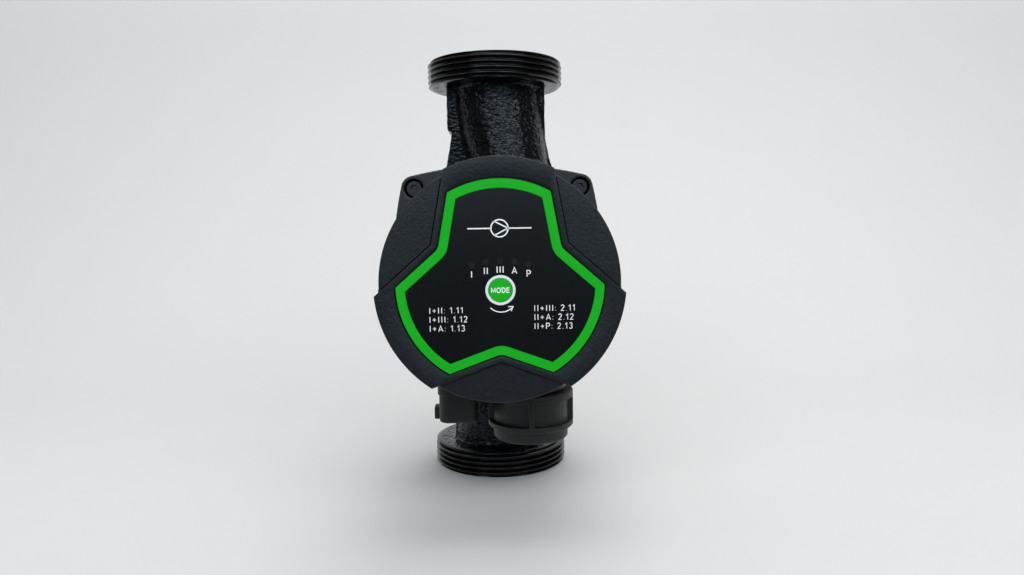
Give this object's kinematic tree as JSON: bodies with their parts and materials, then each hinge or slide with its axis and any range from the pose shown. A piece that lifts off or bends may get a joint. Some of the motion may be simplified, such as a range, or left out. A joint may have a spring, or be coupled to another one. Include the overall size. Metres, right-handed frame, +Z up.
{
  "type": "inline wet-rotor circulator pump",
  "caption": "Black inline circulator pump with union-thread ports, a finned motor and a round lobed electronic control head with a green outline.",
  "frame": {"origin": "centre of the lower port's gasket face", "axes": "+Z up along the pipe axis, from the lower port to the upper one; the control head faces -Y; +X is to the right of a person facing the head"},
  "size_m": [0.0856, 0.1317, 0.18],
  "materials": {
    "cast_iron_black": "semi-gloss black paint over rough casting",
    "motor_paint": "fine textured black paint",
    "black_oxide": "black oxide",
    "stainless": "brushed",
    "lamination": "varnished laminations",
    "copper_wire": "enamelled",
    "magnet": "matte",
    "carbon": "ground",
    "engineering_plastic": "moulded",
    "rubber": "matte",
    "head_plastic": "fine spark-eroded texture",
    "connector_plastic": "fine texture",
    "panel_gloss": "satin film",
    "accent_green": "satin",
    "white_plastic": "satin",
    "lens_smoke": "smoked translucent",
    "circuit_board": "solder mask",
    "component_black": "moulded",
    "aluminium_bare": "extruded",
    "brass_tin": "tinned"
  },
  "bodies": {
    "root": {"bearing_plate": "stainless", "board_link": "component_black", "board_screws": "stainless", "button_bezel": "white_plastic", "button_switch": "component_black", "can_gasket": "rubber", "capacitors": "component_black", "coil_formers": "white_plastic", "control_housing": "head_plastic", "control_screws": "stainless", "cover_seal": "rubber", "display_board": "circuit_board", "display_screws": "stainless", "flange_bolts": "black_oxide", "front_bearing": "carbon", "front_cover": "head_plastic", "front_panel": "panel_gloss", "heat_sink": "aluminium_bare", "indicator_leds": "white_plastic", "indicator_lenses": "lens_smoke", "inlet_contacts": "brass_tin", "inlet_seal": "rubber", "line_choke": "copper_wire", "motor_housing": "motor_paint", "neck_ring": "stainless", "outline_band": "accent_green", "power_board": "circuit_board", "power_inlet": "connector_plastic", "pump_housing": "cast_iron_black", "rear_bearing": "carbon", "rotor_can": "stainless", "signal_contacts": "brass_tin", "signal_cover": "connector_plastic", "stator_coils": "copper_wire", "stator_core": "lamination", "winding_leads": "copper_wire"},
    "rotor": {"impeller": "engineering_plastic", "shaft": "stainless", "thrust_collar": "carbon", "rotor_core": "lamination", "rotor_magnet": "magnet", "rotor_jacket": "stainless"},
    "button": {"mode_button": "accent_green"},
    "collar": {"coupling_collar": "connector_plastic"}
  },
  "joints": [
    {"name": "rotor_spin", "type": "hinge", "parent": "root", "child": "rotor", "pos_m": [0, -0.04, 0.09], "axis": [0, -1, 0], "continuous": true},
    {"name": "button_press", "type": "slide", "parent": "root", "child": "button", "axis": [0, 1, 0], "range_m": [0, 0.0006], "stiffness_N_per_m": 1500, "springref_m": -0.0002},
    {"name": "collar_turn", "type": "hinge", "parent": "root", "child": "collar", "pos_m": [0.01145, -0.057, 0.036], "axis": [0, 0, 1], "range_deg": [0, 90]}
  ]
}
